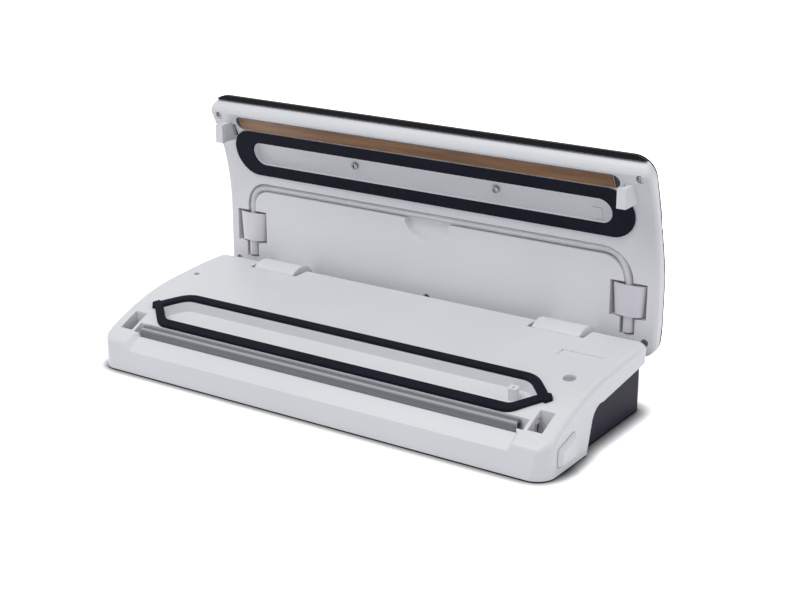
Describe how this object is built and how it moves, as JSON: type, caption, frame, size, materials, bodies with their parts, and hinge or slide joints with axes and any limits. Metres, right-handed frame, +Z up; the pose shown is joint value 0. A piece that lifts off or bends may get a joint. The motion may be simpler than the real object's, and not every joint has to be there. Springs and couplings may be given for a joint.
{
  "type": "vacuum sealer",
  "caption": "Countertop vacuum sealer, hinged lid standing open over a foam-ringed vacuum trough, with sealing strip, side release buttons, stowed accessory hose and a small piston pump.",
  "frame": {"origin": "on the table under the middle of the whole part, lid open", "axes": "+X to the user's right along the sealing strip, +Y to the rear, +Z up"},
  "size_m": [0.396, 0.176, 0.189],
  "materials": {
    "white_plastic": "satin moulded",
    "charcoal_plastic": "fine texture",
    "dark_cover": "satin moulded",
    "gasket_foam": "closed-cell foam",
    "strip_rubber": "smooth extruded",
    "seal_tape": "coated glass cloth",
    "clear_hose": "clear flexible tube",
    "pale_plastic": "satin moulded",
    "grey_plastic": "satin moulded",
    "black_plastic": "moulded",
    "foot_rubber": "matt",
    "steel": "zinc plated",
    "copper": "enamelled wire",
    "board_green": "solder mask",
    "lamp_lens": "diffuse"
  },
  "bodies": {
    "base": {"base_gasket": "gasket_foam", "board_capacitors": "black_plastic", "board_connector": "pale_plastic", "board_relay": "black_plastic", "board_screws": "steel", "canister_switch": "black_plastic", "control_board": "board_green", "cord_gland": "black_plastic", "hinge_pins": "steel", "hose_tee": "pale_plastic", "housing_screws": "steel", "intake_hose_left": "clear_hose", "intake_hose_right": "clear_hose", "intake_port": "white_plastic", "latch_spring_left": "steel", "latch_spring_right": "steel", "lid_switches": "black_plastic", "lower_housing": "charcoal_plastic", "motor_cap": "black_plastic", "pump_bracket": "steel", "pump_cylinder": "pale_plastic", "pump_motor": "steel", "pump_screws": "steel", "release_valve": "steel", "rubber_feet": "foot_rubber", "seal_strip": "strip_rubber", "top_cover": "white_plastic", "transformer_coil": "copper", "transformer_core": "steel", "transformer_screws": "steel", "transformer_strap": "steel"},
    "lid": {"lid_panel": "white_plastic", "lid_cover": "dark_cover", "lid_gasket": "gasket_foam", "heat_bar": "pale_plastic", "heat_element": "steel", "heat_strip": "seal_tape", "strip_terminals": "steel", "lid_screws": "steel", "channel_screws": "steel", "channel_port": "pale_plastic", "accessory_hose": "clear_hose", "hose_connector_left": "pale_plastic", "hose_connector_right": "pale_plastic", "control_bezel": "grey_plastic", "indicator_lenses": "lamp_lens", "button_board": "board_green", "button_switches": "black_plastic"},
    "release_left": {"release_button_left": "white_plastic", "latch_catch_left": "grey_plastic"},
    "release_right": {"release_button_right": "white_plastic", "latch_catch_right": "grey_plastic"},
    "canister_key": {"canister_button": "grey_plastic"},
    "start_key": {"start_button": "pale_plastic"},
    "seal_key": {"seal_button": "pale_plastic"},
    "crank": {"crank": "steel"},
    "rod": {"connecting_rod": "pale_plastic", "piston_cup": "foot_rubber"}
  },
  "joints": [
    {"name": "lid_hinge", "type": "hinge", "parent": "base", "child": "lid", "pos_m": [0, 0.0563, 0.0394], "axis": [1, 0, 0], "range_deg": [0, 90]},
    {"name": "release_left_push", "type": "slide", "parent": "base", "child": "release_left", "axis": [1, 0, 0], "range_m": [0, 0.003], "stiffness_N_per_m": 1000, "springref_m": -0.001, "deforming": ["latch_spring_left"]},
    {"name": "release_right_push", "type": "slide", "parent": "base", "child": "release_right", "axis": [-1, 0, 0], "range_m": [0, 0.003], "stiffness_N_per_m": 1000, "springref_m": -0.001, "deforming": ["latch_spring_right"]},
    {"name": "canister_push", "type": "slide", "parent": "base", "child": "canister_key", "axis": [0, 0, -1], "range_m": [0, 0.0015], "stiffness_N_per_m": 600, "springref_m": -0.0005},
    {"name": "start_push", "type": "slide", "parent": "lid", "child": "start_key", "axis": [0, -1, 0], "range_m": [0, 0.001], "stiffness_N_per_m": 900, "springref_m": -0.0005},
    {"name": "seal_push", "type": "slide", "parent": "lid", "child": "seal_key", "axis": [0, -1, 0], "range_m": [0, 0.001], "stiffness_N_per_m": 900, "springref_m": -0.0005},
    {"name": "crank_spin", "type": "hinge", "parent": "base", "child": "crank", "pos_m": [-0.08, 0.018, 0.024], "axis": [1, 0, 0], "continuous": true},
    {"name": "rod_swing", "type": "hinge", "parent": "crank", "child": "rod", "pos_m": [-0.05, 0.018, 0.026], "axis": [1, 0, 0], "continuous": true}
  ],
  "couplings": [
    {"joint": "rod_swing", "follows": "crank_spin", "ratio": -1}
  ]
}
